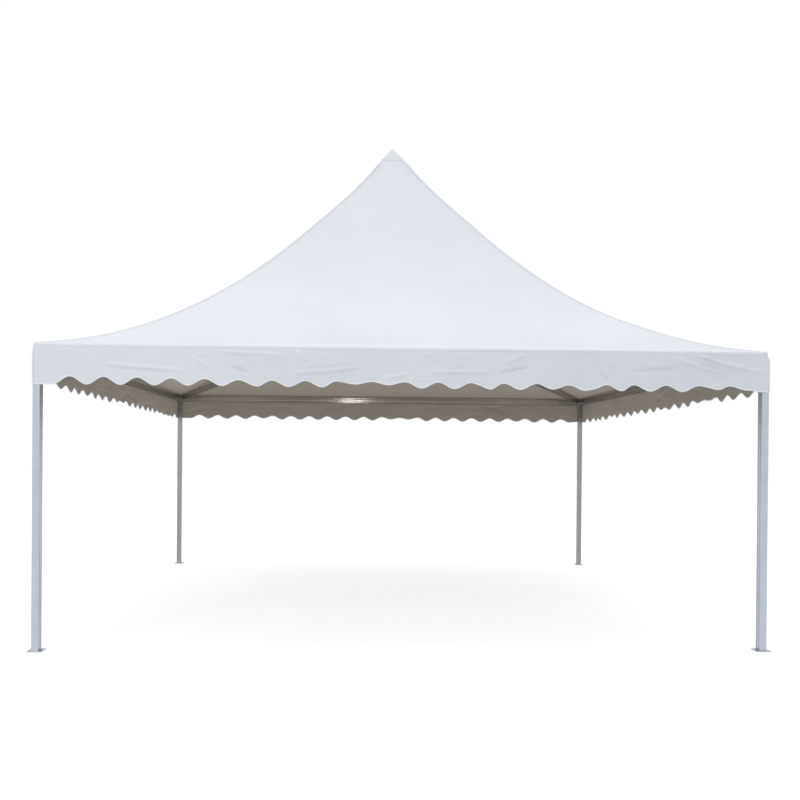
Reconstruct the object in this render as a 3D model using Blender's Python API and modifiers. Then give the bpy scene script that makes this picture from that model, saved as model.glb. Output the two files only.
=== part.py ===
"""Marquee tent: a 6 m square frame tent with a peaked cover and a scalloped valance.

Four legs stand on foot plates. Corner joints on the legs carry the eave beams and four low
hip rafters, which meet in a centre hub. A mast on the hub lifts the cover to its peak.
Metres, +Z up, the front towards -Y, the origin on the ground under the peak.
"""
import math

import bmesh
import bpy
from mathutils import Matrix, Vector

# Frame, from which the rest follows
SPAN = 6.0
EAVE_HEIGHT = 2.5
CLEARANCE = 0.0003

# Extruded profiles: legs are deeper from front to back than they are wide
LEG_WIDTH = 0.058
LEG_DEPTH = 0.080
BEAM_WIDTH = 0.058
BEAM_HEIGHT = 0.095
PROFILE_WALL = 0.005
GROOVE_WIDTH = 0.006
GROOVE_DEPTH = 0.0025
LEG_GROOVE_OFFSET = 0.018
BEAM_GROOVE_OFFSET = 0.024

# Foot plates
PLATE_SIDE = 0.120
PLATE_THICKNESS = 0.008
SPIGOT_LENGTH = 0.100

# Corner joints
JOINT_OVERHANG = 0.020
JOINT_CHAMFER_DISTANCE = 0.066

# Hip rafters: the lower edge starts at this height over the leg centres
RAFTER_WIDTH = 0.040
RAFTER_DEPTH = 0.075
RAFTER_WALL = 0.003
RAFTER_FOOT_HEIGHT = 2.4225
RAFTER_RISE_PER_METRE = 0.180
RAFTER_STUB_LENGTH = 0.120

# Centre hub and mast
HUB_HALF_WIDTH = 0.070
HUB_HEIGHT = 0.110
HUB_DROP = 0.020
MAST_RADIUS = 0.030
MAST_WALL = 0.003
MAST_SPIGOT_LENGTH = 0.100
MAST_HEAD_RADIUS = 0.100
MAST_HEAD_RIM = 0.008
MAST_HEAD_TIP_RADIUS = 0.004
ROUND_SIDES = 24

# Cover: hips follow a curve from the eave corner to the peak
COVER_THICKNESS = 0.004
PEAK_HEIGHT = 5.180
HIP_LOW_FRACTION = 0.54
HIP_LOW_HEIGHT = 2.710
HIP_HIGH_FRACTION = 0.12
HIP_HIGH_HEIGHT = 4.720
COVER_BOW = 0.06
COVER_ROWS = 16
COVER_COLUMNS = 10
COVER_TOP_STEP = 0.985
HALVINGS = 60

# Peak cap
CAP_HALF_WIDTH = 0.090
CAP_HEIGHT = 0.117
CAP_SHELL = 0.004
CAP_LIFT = 0.002

# Valance
VALANCE_DROP = 0.340
SCALLOP_COUNT = 21
SCALLOP_PITCH = 0.272
SCALLOP_HEIGHT = 0.050
SCALLOP_STEPS = 6

# Worked out from the above
HALF_SPAN = SPAN / 2
LEG_TOP = EAVE_HEIGHT - BEAM_HEIGHT
FRAME_HALF_X = HALF_SPAN + LEG_WIDTH / 2
FRAME_HALF_Y = HALF_SPAN + LEG_DEPTH / 2
COVER_HALF_X = FRAME_HALF_X + CLEARANCE + COVER_THICKNESS
COVER_HALF_Y = FRAME_HALF_Y + CLEARANCE + COVER_THICKNESS
JOINT_INNER_X = HALF_SPAN - LEG_WIDTH / 2 - JOINT_OVERHANG
JOINT_INNER_Y = HALF_SPAN - LEG_DEPTH / 2 - JOINT_OVERHANG
DIAGONAL = HALF_SPAN * math.sqrt(2)
RAFTER_CENTRE_HEIGHT = RAFTER_FOOT_HEIGHT + RAFTER_RISE_PER_METRE * DIAGONAL
HUB_BOTTOM = RAFTER_CENTRE_HEIGHT - HUB_DROP
HUB_TOP = HUB_BOTTOM + HUB_HEIGHT
CORNERS = {"front_left": (-1, -1), "front_right": (1, -1), "back_right": (1, 1), "back_left": (-1, 1)}
SIDES = {"front": 0, "right": 90, "back": 180, "left": 270}

ALUMINIUM = ((0.62, 0.66, 0.70, 1.0), 0.35, 0.85)
DARK_ALUMINIUM = ((0.45, 0.46, 0.48, 1.0), 0.40, 0.85)
STEEL = ((0.42, 0.43, 0.44, 1.0), 0.45, 0.90)
COVER_CLOTH = ((0.86, 0.88, 0.92, 1.0), 0.55, 0.0)


def clear_scene():
    """Removes every object that the file holds."""
    for old in list(bpy.data.objects):
        bpy.data.objects.remove(old, do_unlink=True)


def new_collection(name):
    """A collection linked to the scene."""
    collection = bpy.data.collections.new(name)
    bpy.context.scene.collection.children.link(collection)
    return collection


def give_material(obj, finish):
    """Gives an object its own Principled material of one colour, roughness and metallic value."""
    colour, roughness, metallic = finish
    material = bpy.data.materials.new(obj.name + "_finish")
    material.use_nodes = True
    shader = material.node_tree.nodes["Principled BSDF"]
    shader.inputs["Base Color"].default_value = colour
    shader.inputs["Roughness"].default_value = roughness
    shader.inputs["Metallic"].default_value = metallic
    obj.data.materials.append(material)


def add_object(name, mesh, collection, finish=None):
    """An object of a mesh, in a collection."""
    obj = bpy.data.objects.new(name, mesh)
    collection.objects.link(obj)
    if finish:
        give_material(obj, finish)
    return obj


def box_mesh(name, low, high):
    """A box from its lowest to its highest corner."""
    bm = bmesh.new()
    low = Vector(low)
    high = Vector(high)
    size = high - low
    place = Matrix.Translation((low + high) / 2) @ Matrix.Diagonal((size.x, size.y, size.z, 1.0))
    bmesh.ops.create_cube(bm, size=1.0, matrix=place)
    mesh = bpy.data.meshes.new(name)
    bm.to_mesh(mesh)
    bm.free()
    return mesh


def outline_mesh(name, loops, length):
    """Closed outlines in the XY plane, the first one the outside, extruded along Z about z = 0."""
    curve = bpy.data.curves.new(name, "CURVE")
    curve.dimensions = "2D"
    curve.fill_mode = "BOTH"
    curve.extrude = length / 2
    for loop in loops:
        spline = curve.splines.new("POLY")
        spline.points.add(len(loop) - 1)
        for point, (x, y) in zip(spline.points, loop):
            point.co = (x, y, 0.0, 1.0)
        spline.use_cyclic_u = True
    holder = bpy.data.objects.new(name + "_outline", curve)
    bpy.context.scene.collection.objects.link(holder)
    evaluated = holder.evaluated_get(bpy.context.evaluated_depsgraph_get())
    mesh = bpy.data.meshes.new_from_object(evaluated)
    mesh.name = name
    bpy.data.objects.remove(holder, do_unlink=True)
    bm = bmesh.new()
    bm.from_mesh(mesh)
    bmesh.ops.remove_doubles(bm, verts=bm.verts, dist=0.00001)
    bmesh.ops.recalc_face_normals(bm, faces=bm.faces)
    bm.to_mesh(mesh)
    bm.free()
    return mesh


def rectangle(half_x, half_y):
    """The four corners of a rectangle about the origin."""
    return [(-half_x, -half_y), (half_x, -half_y), (half_x, half_y), (-half_x, half_y)]


def circle(radius):
    """The corners of a round outline about the origin."""
    turns = [2 * math.pi * step / ROUND_SIDES for step in range(ROUND_SIDES)]
    return [(radius * math.cos(turn), radius * math.sin(turn)) for turn in turns]


def grooved_rectangle(half_x, half_y, groove_offset):
    """A rectangle with two grooves in each of the faces that look along X."""
    half_groove = GROOVE_WIDTH / 2
    right_face = [(half_x, -half_y)]
    for centre in (-groove_offset, groove_offset):
        right_face += [
            (half_x, centre - half_groove),
            (half_x - GROOVE_DEPTH, centre - half_groove),
            (half_x - GROOVE_DEPTH, centre + half_groove),
            (half_x, centre + half_groove),
        ]
    right_face.append((half_x, half_y))
    left_face = [(-x, -y) for x, y in right_face]
    return right_face + left_face


def join_all(obj, tools, pieces):
    """Joins pieces to an object with Boolean unions, and keeps them as hidden guides."""
    for index, mesh in enumerate(pieces):
        piece = add_object(f"{obj.name}_tool_{index}", mesh, tools)
        piece.matrix_world = obj.matrix_world
        piece.hide_render = True
        piece.display_type = "WIRE"
        union = obj.modifiers.new(f"join_{index}", "BOOLEAN")
        union.operation = "UNION"
        union.solver = "EXACT"
        union.object = piece


def turned_mesh_object(name, profile, collection, finish):
    """A solid turned about Z from a profile of (radius, height) that runs down its outer side."""
    mesh = bpy.data.meshes.new(name)
    points = [(radius, 0.0, height) for radius, height in profile]
    edges = [(index, index + 1) for index in range(len(points) - 1)]
    mesh.from_pydata(points, edges, [])
    obj = add_object(name, mesh, collection, finish)
    screw = obj.modifiers.new("turn", "SCREW")
    screw.steps = ROUND_SIDES
    screw.render_steps = ROUND_SIDES
    screw.use_merge_vertices = True
    screw.merge_threshold = 0.00001
    return obj


def sloped_box_mesh(name, start, end, half_width, low, high):
    """A box along the local X axis whose height follows the slope of the rafters.

    Its ends are upright. start and end are distances from the centre, on the negative side.
    """
    mesh = box_mesh(name, (start, -half_width, low), (end, half_width, high))
    slope_mesh(mesh)
    return mesh


def slope_mesh(mesh):
    """Raises each point by the rise of the rafters over its distance along X."""
    for vertex in mesh.vertices:
        vertex.co.z += RAFTER_RISE_PER_METRE * vertex.co.x


def corner_heading(sign_x, sign_y):
    """The turn about Z that takes the local -X axis to a corner of the frame."""
    return math.atan2(-sign_y, -sign_x)


def turn_about_z(angle):
    """A rotation about Z."""
    return Matrix.Rotation(angle, 4, "Z")


def build_foot_plate(corner, signs, parts, tools):
    """A square plate on the ground with a spigot that stands in the leg."""
    half = PLATE_SIDE / 2
    mesh = box_mesh("foot_plate", (-half, -half, 0.0), (half, half, PLATE_THICKNESS))
    plate = add_object(f"foot_plate_{corner}", mesh, parts, STEEL)
    plate.matrix_world = Matrix.Translation((signs[0] * HALF_SPAN, signs[1] * HALF_SPAN, 0.0))
    spigot_x = LEG_WIDTH / 2 - PROFILE_WALL - CLEARANCE
    spigot_y = LEG_DEPTH / 2 - PROFILE_WALL - CLEARANCE
    spigot = box_mesh(
        "foot_spigot",
        (-spigot_x, -spigot_y, PLATE_THICKNESS / 2),
        (spigot_x, spigot_y, PLATE_THICKNESS + SPIGOT_LENGTH),
    )
    join_all(plate, tools, [spigot])


def build_leg(corner, signs, parts):
    """A hollow grooved upright from its foot plate to its corner joint."""
    low = PLATE_THICKNESS + CLEARANCE
    high = LEG_TOP - CLEARANCE
    outer = grooved_rectangle(LEG_WIDTH / 2, LEG_DEPTH / 2, LEG_GROOVE_OFFSET)
    bore = rectangle(LEG_WIDTH / 2 - PROFILE_WALL, LEG_DEPTH / 2 - PROFILE_WALL)
    mesh = outline_mesh("leg", [outer, bore], high - low)
    leg = add_object(f"leg_{corner}", mesh, parts, ALUMINIUM)
    leg.location = (signs[0] * HALF_SPAN, signs[1] * HALF_SPAN, (low + high) / 2)


def build_corner_joint(corner, signs, parts, tools):
    """A block on the leg with spigots in the leg, both eave beams and the hip rafter."""
    sign_x, sign_y = signs
    reach = JOINT_CHAMFER_DISTANCE * math.sqrt(2)
    inner_x = HALF_SPAN - JOINT_INNER_X
    inner_y = HALF_SPAN - JOINT_INNER_Y
    # Measured inwards from the leg's centre, with the inner corner cut off square to the rafter
    plan = [
        (-LEG_WIDTH / 2, -LEG_DEPTH / 2),
        (inner_x, -LEG_DEPTH / 2),
        (inner_x, reach - inner_x),
        (reach - inner_y, inner_y),
        (-LEG_WIDTH / 2, inner_y),
    ]
    outline = [(-sign_x * x, -sign_y * y) for x, y in plan]
    mesh = outline_mesh("corner_joint", [outline], BEAM_HEIGHT)
    joint = add_object(f"corner_joint_{corner}", mesh, parts, STEEL)
    middle = LEG_TOP + BEAM_HEIGHT / 2
    joint.matrix_world = Matrix.Translation((sign_x * HALF_SPAN, sign_y * HALF_SPAN, middle))

    inside = PROFILE_WALL + CLEARANCE
    beam_half_height = BEAM_HEIGHT / 2 - inside
    beam_half_width = BEAM_WIDTH / 2 - inside
    front_beam_y = (LEG_DEPTH - BEAM_WIDTH) / 2
    along_x = sorted((0.0, -sign_x * (inner_x + SPIGOT_LENGTH)))
    along_y = sorted((0.0, -sign_y * (inner_y + SPIGOT_LENGTH)))
    front_spigot = box_mesh(
        "front_spigot",
        (along_x[0], sign_y * front_beam_y - beam_half_width, -beam_half_height),
        (along_x[1], sign_y * front_beam_y + beam_half_width, beam_half_height),
    )
    side_spigot = box_mesh(
        "side_spigot",
        (-beam_half_width, along_y[0], -beam_half_height),
        (beam_half_width, along_y[1], beam_half_height),
    )
    leg_half_x = LEG_WIDTH / 2 - inside
    leg_half_y = LEG_DEPTH / 2 - inside
    leg_spigot = box_mesh(
        "leg_spigot",
        (-leg_half_x, -leg_half_y, -BEAM_HEIGHT / 2 - SPIGOT_LENGTH),
        (leg_half_x, leg_half_y, 0.0),
    )
    # The rafter stub, modelled from the hub's centre and moved to this joint
    bore_half_width = RAFTER_WIDTH / 2 - RAFTER_WALL - CLEARANCE
    bore_low = RAFTER_CENTRE_HEIGHT + RAFTER_WALL + CLEARANCE
    bore_high = RAFTER_CENTRE_HEIGHT + RAFTER_DEPTH - RAFTER_WALL - CLEARANCE
    stub_start = -DIAGONAL + JOINT_CHAMFER_DISTANCE / 2
    stub_end = -DIAGONAL + JOINT_CHAMFER_DISTANCE + RAFTER_STUB_LENGTH
    stub = sloped_box_mesh("rafter_stub", stub_start, stub_end, bore_half_width, bore_low, bore_high)
    stub.transform(joint.matrix_world.inverted() @ turn_about_z(corner_heading(sign_x, sign_y)))
    join_all(joint, tools, [front_spigot, side_spigot, leg_spigot, stub])


def build_eave_beams(parts):
    """Four hollow grooved beams between the corner joints, flush with the legs' outer faces."""
    outer = grooved_rectangle(BEAM_WIDTH / 2, BEAM_HEIGHT / 2, BEAM_GROOVE_OFFSET)
    bore = rectangle(BEAM_WIDTH / 2 - PROFILE_WALL, BEAM_HEIGHT / 2 - PROFILE_WALL)
    middle = EAVE_HEIGHT - BEAM_HEIGHT / 2
    beam_y = FRAME_HALF_Y - BEAM_WIDTH / 2
    long_way = 2 * (JOINT_INNER_X - CLEARANCE)
    short_way = 2 * (JOINT_INNER_Y - CLEARANCE)
    # The outline's Y axis becomes the beam's height, and its extrusion the beam's length
    upright = Matrix.Rotation(math.radians(90), 4, "X")
    for side, turn, place, length in (
        ("front", 90, (0.0, -beam_y, middle), long_way),
        ("right", 0, (HALF_SPAN, 0.0, middle), short_way),
        ("back", 90, (0.0, beam_y, middle), long_way),
        ("left", 0, (-HALF_SPAN, 0.0, middle), short_way),
    ):
        mesh = outline_mesh("eave_beam", [outer, bore], length)
        beam = add_object(f"eave_beam_{side}", mesh, parts, DARK_ALUMINIUM)
        beam.matrix_world = Matrix.Translation(place) @ turn_about_z(math.radians(turn)) @ upright


def build_hip_rafter(corner, signs, parts):
    """A hollow rafter from the corner joint up to the hub, with upright ends."""
    start = -DIAGONAL + JOINT_CHAMFER_DISTANCE + CLEARANCE
    end = -HUB_HALF_WIDTH - CLEARANCE
    half_width = RAFTER_WIDTH / 2
    half_depth = RAFTER_DEPTH / 2
    outer = rectangle(half_width, half_depth)
    bore = rectangle(half_width - RAFTER_WALL, half_depth - RAFTER_WALL)
    mesh = outline_mesh("hip_rafter", [outer, bore], end - start)
    # The outline's X axis is the rafter's width, its Y axis the depth
    lay_down = Matrix(((0, 0, 1, 0), (1, 0, 0, 0), (0, 1, 0, 0), (0, 0, 0, 1)))
    middle = Matrix.Translation(((start + end) / 2, 0.0, RAFTER_CENTRE_HEIGHT + half_depth))
    mesh.transform(middle @ lay_down)
    slope_mesh(mesh)
    rafter = add_object(f"hip_rafter_{corner}", mesh, parts, DARK_ALUMINIUM)
    rafter.matrix_world = turn_about_z(corner_heading(*signs))


def build_hub(parts, tools):
    """A block that four rafter stubs and the mast's spigot grow from."""
    half = HUB_HALF_WIDTH
    mesh = box_mesh("centre_hub", (-half, -half, HUB_BOTTOM), (half, half, HUB_TOP))
    mesh.transform(turn_about_z(math.radians(45)))
    hub = add_object("centre_hub", mesh, parts, STEEL)
    bore_half_width = RAFTER_WIDTH / 2 - RAFTER_WALL - CLEARANCE
    low = RAFTER_CENTRE_HEIGHT + RAFTER_WALL + CLEARANCE
    high = RAFTER_CENTRE_HEIGHT + RAFTER_DEPTH - RAFTER_WALL - CLEARANCE
    pieces = []
    for signs in CORNERS.values():
        far_end = -half - RAFTER_STUB_LENGTH
        stub = sloped_box_mesh("hub_stub", far_end, -half / 2, bore_half_width, low, high)
        stub.transform(turn_about_z(corner_heading(*signs)))
        pieces.append(stub)
    spigot_outline = circle(MAST_RADIUS - MAST_WALL - CLEARANCE)
    spigot = outline_mesh("mast_spigot", [spigot_outline], 2 * MAST_SPIGOT_LENGTH)
    spigot.transform(Matrix.Translation((0.0, 0.0, HUB_TOP)))
    # The spigot's lower half ends inside the block
    for vertex in spigot.vertices:
        vertex.co.z = max(vertex.co.z, HUB_BOTTOM + HUB_HEIGHT / 2)
    pieces.append(spigot)
    join_all(hub, tools, pieces)


def hip_point(step):
    """The hip's distance out, as a fraction, and its height, from the eave (0) to the peak (1)."""
    eave_top = EAVE_HEIGHT + CLEARANCE + COVER_THICKNESS
    weights = ((1 - step) ** 3, 3 * (1 - step) ** 2 * step, 3 * (1 - step) * step**2, step**3)
    fractions = (1.0, HIP_LOW_FRACTION, HIP_HIGH_FRACTION, 0.0)
    heights = (eave_top, HIP_LOW_HEIGHT, HIP_HIGH_HEIGHT, PEAK_HEIGHT)
    fraction = sum(weight * value for weight, value in zip(weights, fractions))
    height = sum(weight * value for weight, value in zip(weights, heights))
    return fraction, height


def out_fraction(fraction, across):
    """How far out the cover lies, as a fraction: less than the hips in the middle of a side."""
    return fraction - COVER_BOW * fraction * (1 - fraction**2) * (1 - across**2)


def cover_height(distance, half_out, across):
    """The cover's height at a distance from the peak, in the middle of a side (0) or on a hip (1)."""
    low = 0.0
    high = 1.0
    for _ in range(HALVINGS):
        middle = (low + high) / 2
        if out_fraction(hip_point(middle)[0], across) * half_out > distance:
            low = middle
        else:
            high = middle
    return hip_point(low)[1]


def mast_head_rim_top():
    """The height of the mast head's rim, just under the middles of the cover's sides."""
    return cover_height(MAST_HEAD_RADIUS, COVER_HALF_X, 0.0) - COVER_THICKNESS - CLEARANCE


def build_mast(parts):
    """A round tube from the hub to the mast head."""
    low = HUB_TOP + CLEARANCE
    high = mast_head_rim_top() - MAST_HEAD_RIM - CLEARANCE
    mesh = outline_mesh("mast", [circle(MAST_RADIUS), circle(MAST_RADIUS - MAST_WALL)], high - low)
    mast = add_object("mast", mesh, parts, ALUMINIUM)
    mast.location = (0.0, 0.0, (low + high) / 2)


def build_mast_head(parts):
    """A cone on the mast that carries the cover from inside."""
    rim_top = mast_head_rim_top()
    seat = rim_top - MAST_HEAD_RIM
    spigot = MAST_RADIUS - MAST_WALL - CLEARANCE
    tip = cover_height(MAST_HEAD_TIP_RADIUS, COVER_HALF_X, 0.0) - 2 * COVER_THICKNESS
    profile = [
        (0.0, tip),
        (MAST_HEAD_TIP_RADIUS, tip),
        (MAST_HEAD_RADIUS, rim_top),
        (MAST_HEAD_RADIUS, seat),
        (spigot, seat),
        (spigot, seat - MAST_SPIGOT_LENGTH),
        (0.0, seat - MAST_SPIGOT_LENGTH),
    ]
    turned_mesh_object("mast_head", profile, parts, STEEL)


def build_roof_panel(side, degrees, parts):
    """One gore of the cover, from its eave to the peak, as a sheet of even upright thickness."""
    sideways = degrees in (90, 270)
    half_out = COVER_HALF_X if sideways else COVER_HALF_Y
    half_along = COVER_HALF_Y if sideways else COVER_HALF_X
    bm = bmesh.new()
    bmesh.ops.create_grid(bm, x_segments=COVER_COLUMNS, y_segments=COVER_ROWS, size=1.0)
    for vertex in bm.verts:
        across = vertex.co.x
        fraction, height = hip_point(COVER_TOP_STEP * (vertex.co.y + 1) / 2)
        along = across * (fraction * half_along - CLEARANCE)
        vertex.co = (along, -half_out * out_fraction(fraction, across), height)
    below = bmesh.ops.extrude_face_region(bm, geom=bm.faces[:])
    moved = [item for item in below["geom"] if isinstance(item, bmesh.types.BMVert)]
    bmesh.ops.translate(bm, verts=moved, vec=(0.0, 0.0, -COVER_THICKNESS))
    bmesh.ops.recalc_face_normals(bm, faces=bm.faces)
    mesh = bpy.data.meshes.new("roof_panel")
    bm.to_mesh(mesh)
    bm.free()
    panel = add_object(f"roof_panel_{side}", mesh, parts, COVER_CLOTH)
    panel.matrix_world = turn_about_z(math.radians(degrees))


def build_peak_cap(parts, tools):
    """A four-sided hollow cap over the point where the roof panels meet."""
    bottom = cover_height(CAP_HALF_WIDTH, COVER_HALF_Y, 1.0) + CAP_LIFT
    outer = pyramid_mesh("peak_cap", CAP_HALF_WIDTH + CAP_SHELL, CAP_HEIGHT + CAP_SHELL, bottom)
    cap = add_object("peak_cap", outer, parts, COVER_CLOTH)
    hollow = pyramid_mesh("cap_hollow", CAP_HALF_WIDTH, CAP_HEIGHT, bottom)
    cutter = add_object("peak_cap_hollow", hollow, tools)
    cutter.hide_render = True
    cutter.display_type = "WIRE"
    # The hollow reaches a little below the rim, so that the cap is open underneath
    for vertex in hollow.vertices:
        if vertex.co.z < bottom + CLEARANCE:
            spread = 1 + COVER_THICKNESS / CAP_HEIGHT
            vertex.co = (vertex.co.x * spread, vertex.co.y * spread, bottom - COVER_THICKNESS)
    cut = cap.modifiers.new("hollow", "BOOLEAN")
    cut.operation = "DIFFERENCE"
    cut.solver = "EXACT"
    cut.object = cutter


def pyramid_mesh(name, half_width, height, bottom):
    """A four-sided pyramid whose sides look along X and Y."""
    bm = bmesh.new()
    lift = Matrix.Translation((0.0, 0.0, bottom + height / 2))
    bmesh.ops.create_cone(
        bm,
        cap_ends=True,
        segments=4,
        radius1=half_width * math.sqrt(2),
        radius2=0.0,
        depth=height,
        matrix=lift @ turn_about_z(math.radians(45)),
    )
    mesh = bpy.data.meshes.new(name)
    bm.to_mesh(mesh)
    bm.free()
    return mesh


def valance_outline(half_length):
    """A strip with a straight upper edge and a scalloped hem, flat towards its two ends."""
    half_waves = SCALLOP_COUNT * SCALLOP_PITCH / 2
    steps = SCALLOP_COUNT * SCALLOP_STEPS
    hem = [(-half_length, -VALANCE_DROP)]
    for index in range(steps + 1):
        place = -half_waves + 2 * half_waves * index / steps
        wave = (1 - math.cos(2 * math.pi * index / SCALLOP_STEPS)) / 2
        hem.append((place, -VALANCE_DROP + SCALLOP_HEIGHT * wave))
    hem.append((half_length, -VALANCE_DROP))
    return hem + [(half_length, 0.0), (-half_length, 0.0)]


def build_valance(side, degrees, parts):
    """One side of the valance, hanging outside the legs and the eave beam."""
    sideways = degrees in (90, 270)
    half_length = FRAME_HALF_Y if sideways else COVER_HALF_X
    plane = COVER_HALF_X if sideways else COVER_HALF_Y
    mesh = outline_mesh("valance", [valance_outline(half_length)], COVER_THICKNESS)
    valance = add_object(f"valance_{side}", mesh, parts, COVER_CLOTH)
    upright = Matrix.Rotation(math.radians(90), 4, "X")
    shift = Matrix.Translation((0.0, -plane + COVER_THICKNESS / 2, EAVE_HEIGHT))
    valance.matrix_world = turn_about_z(math.radians(degrees)) @ shift @ upright


def main():
    clear_scene()
    parts = new_collection("marquee_tent")
    tools = new_collection("marquee_tent_tools")
    for corner, signs in CORNERS.items():
        build_foot_plate(corner, signs, parts, tools)
        build_leg(corner, signs, parts)
        build_corner_joint(corner, signs, parts, tools)
        build_hip_rafter(corner, signs, parts)
    build_eave_beams(parts)
    build_hub(parts, tools)
    build_mast(parts)
    build_mast_head(parts)
    build_peak_cap(parts, tools)
    for side, degrees in SIDES.items():
        build_roof_panel(side, degrees, parts)
        build_valance(side, degrees, parts)


main()
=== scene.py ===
"""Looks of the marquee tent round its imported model: cloth, profiles, fittings, floor, light, camera.

Metres, +Z up, the front towards -Y, the origin on the ground under the peak.
"""
import math
import random

import bmesh
import bpy
from mathutils import Matrix, Vector, noise


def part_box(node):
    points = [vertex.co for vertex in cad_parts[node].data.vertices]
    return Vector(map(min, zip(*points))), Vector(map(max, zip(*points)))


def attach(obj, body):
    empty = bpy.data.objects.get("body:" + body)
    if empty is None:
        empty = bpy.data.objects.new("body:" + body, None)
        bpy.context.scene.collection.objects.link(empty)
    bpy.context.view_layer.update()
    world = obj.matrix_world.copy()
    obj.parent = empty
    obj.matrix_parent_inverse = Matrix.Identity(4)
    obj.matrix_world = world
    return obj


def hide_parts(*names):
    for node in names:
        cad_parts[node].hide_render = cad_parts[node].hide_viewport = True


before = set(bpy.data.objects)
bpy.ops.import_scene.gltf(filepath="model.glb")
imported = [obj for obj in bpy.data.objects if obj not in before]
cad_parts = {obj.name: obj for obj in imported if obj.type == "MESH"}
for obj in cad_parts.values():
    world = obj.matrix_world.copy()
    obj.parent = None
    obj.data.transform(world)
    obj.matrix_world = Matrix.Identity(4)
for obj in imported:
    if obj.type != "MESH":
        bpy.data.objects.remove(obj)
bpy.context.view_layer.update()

# Camera, fitted to the photograph's view of the feet, eave and peak
CAMERA_PLACE = (-0.451, -10.326, 1.593)
CAMERA_TURN = 2.25
CAMERA_TILT = -0.268
CAMERA_ROLL = 0.47
CAMERA_LENS = 39.98
CAMERA_SENSOR = 36.0
CAMERA_SHIFT = (0.01726, 0.07757)

# Light
LAMPS = {
    # Name: place, target, width, height and power
    "overhead": ((1.6, 0.0, 15.0), (0.0, 0.0, 2.5), 14.0, 14.0, 800.0),
    "front": ((-7.0, -11.0, 9.0), (0.0, -3.0, 2.3), 2.0, 2.0, 400.0),
    # Its reflection is the bright streak on the back beam
    "streak": ((-0.440, -1.0, 2.655), (-0.440, 0.0, 2.655), 0.40, 0.12, 1.3),
}
FLOOR_GLOW = 0.74
FLOOR_HALF = 60.0
FLOOR_LEVEL = -0.0005
DAYLIGHT_TINT = (1.0, 0.866, 0.725)
DAYLIGHT_STRENGTH = 0.105

# Places read from the frame
LEG_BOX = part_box("leg_front_right")
BEAM_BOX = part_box("eave_beam_front")
HALF_SPAN = (LEG_BOX[0].x + LEG_BOX[1].x) / 2
DIAGONAL = HALF_SPAN * math.sqrt(2)
LEG_LOW = LEG_BOX[0].z
LEG_HIGH = LEG_BOX[1].z
BEAM_MIDDLE = (BEAM_BOX[0].z + BEAM_BOX[1].z) / 2
COVER_HALF_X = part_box("roof_panel_right")[1].x
COVER_HALF_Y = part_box("roof_panel_back")[1].y
FRAME_HALF_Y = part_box("leg_back_right")[1].y
VALANCE_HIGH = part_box("valance_front")[1].z
VALANCE_DROP = VALANCE_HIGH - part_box("valance_front")[0].z
HUB_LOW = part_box("centre_hub")[0].z
PLATE_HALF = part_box("foot_plate_front_right")[1].x - HALF_SPAN
CORNERS = {"front_left": (-1, -1), "front_right": (1, -1), "back_right": (1, 1), "back_left": (-1, 1)}
SIDES = ("front", "right", "back", "left")

# Profiles, as in the construction
LEG_WIDTH = 0.058
LEG_DEPTH = 0.080
BEAM_WIDTH = 0.058
BEAM_HEIGHT = 0.095
PROFILE_WALL = 0.005
PROFILE_RADIUS = 0.0035
GROOVE_WIDTH = 0.006
GROOVE_DEPTH = 0.0025
LEG_GROOVE_OFFSET = 0.018
BEAM_GROOVE_OFFSET = 0.024
BEAM_CROWN = 0.0005
BEAM_LEAN = 0.0005
PLATE_THICKNESS = 0.008
CLEARANCE = 0.0003
UNDERSIDE_NORMAL = -0.08

# Rafters, as in the construction
RAFTER_WIDTH = 0.040
RAFTER_DEPTH = 0.075
RAFTER_WALL = 0.003
RAFTER_FOOT_HEIGHT = 2.4225
RAFTER_RISE_PER_METRE = 0.180
RAFTER_GROOVE_OFFSET = 0.020
RAFTER_COVER_ROOM = 0.0026
RAFTER_REST_WIDTH = (0.028, 0.085)
BORE_RADIUS = 0.002
JOINT_CHAMFER_DISTANCE = 0.066
JOINT_OUTER_CHAMFER = 0.042
HUB_HALF_WIDTH = 0.070
HUB_HEIGHT = 0.110
COLLAR_FLANGE_RADIUS = 0.052
COLLAR_FLANGE_TOP = 0.010
COLLAR_RADIUS = 0.036
COLLAR_TOP = 0.060
COLLAR_BOLT_HEIGHT = 0.040

# Hip curve of the cover, as in the construction
PEAK_HEIGHT = 5.180
HIP_LOW_FRACTION = 0.54
HIP_LOW_HEIGHT = 2.710
HIP_HIGH_FRACTION = 0.12
HIP_HIGH_HEIGHT = 4.720
COVER_BOW = 0.06
HIP_SAGS = (0.0, 0.030, 0.015, 0.010)
EAVE_TOP = VALANCE_HIGH + 0.0020
TOP_HOLLOW = 0.028

# Cover cloth
CLOTH_THICKNESS = 0.0014
COVER_ROWS = 104
COVER_COLUMNS = 80
FOLD_RADIUS = 0.014
FOLD_PROUD = 0.0022
FOLD_STEPS = 5
LIP_DROP = 0.012
FIRST_STEP = 0.006
SLACK = 0.011
SMALL_SLACK = 0.004
FAN_FOLD_HEIGHT = 0.0035
PUCKER_HEIGHT = 0.0016
PUCKER_PITCH = 0.145
PLEAT_HEIGHT = 0.0012
# Heights between which painted shade darkens the outer cloth towards the peak
PAINTED_SHADE_HEIGHTS = (2.55, 4.6)
WELT_START = 0.010
WELT_END = 0.912
WELT_HALF_WIDTH = 0.022
WELT_HALF_SECTION = (
    (WELT_HALF_WIDTH, -0.0006), (0.0213, 0.0013), (0.0070, 0.0016), (0.0046, 0.0040), (0.0030, 0.0064),
)
WELT_HEIGHT = 0.0075
EAR_REACH = 0.070
EAR_HEIGHT = 0.010
CORNER_DRAWS = (0.008, 0.018, 0.013, 0.013)
CORNER_DRAW_WIDTH = 0.027
CORNER_DRAW_DEPTH = 0.090
CORNER_SNUG = 0.003
CORNER_SNUG_WIDTH = 0.060
TOP_STEP = 0.994

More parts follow.
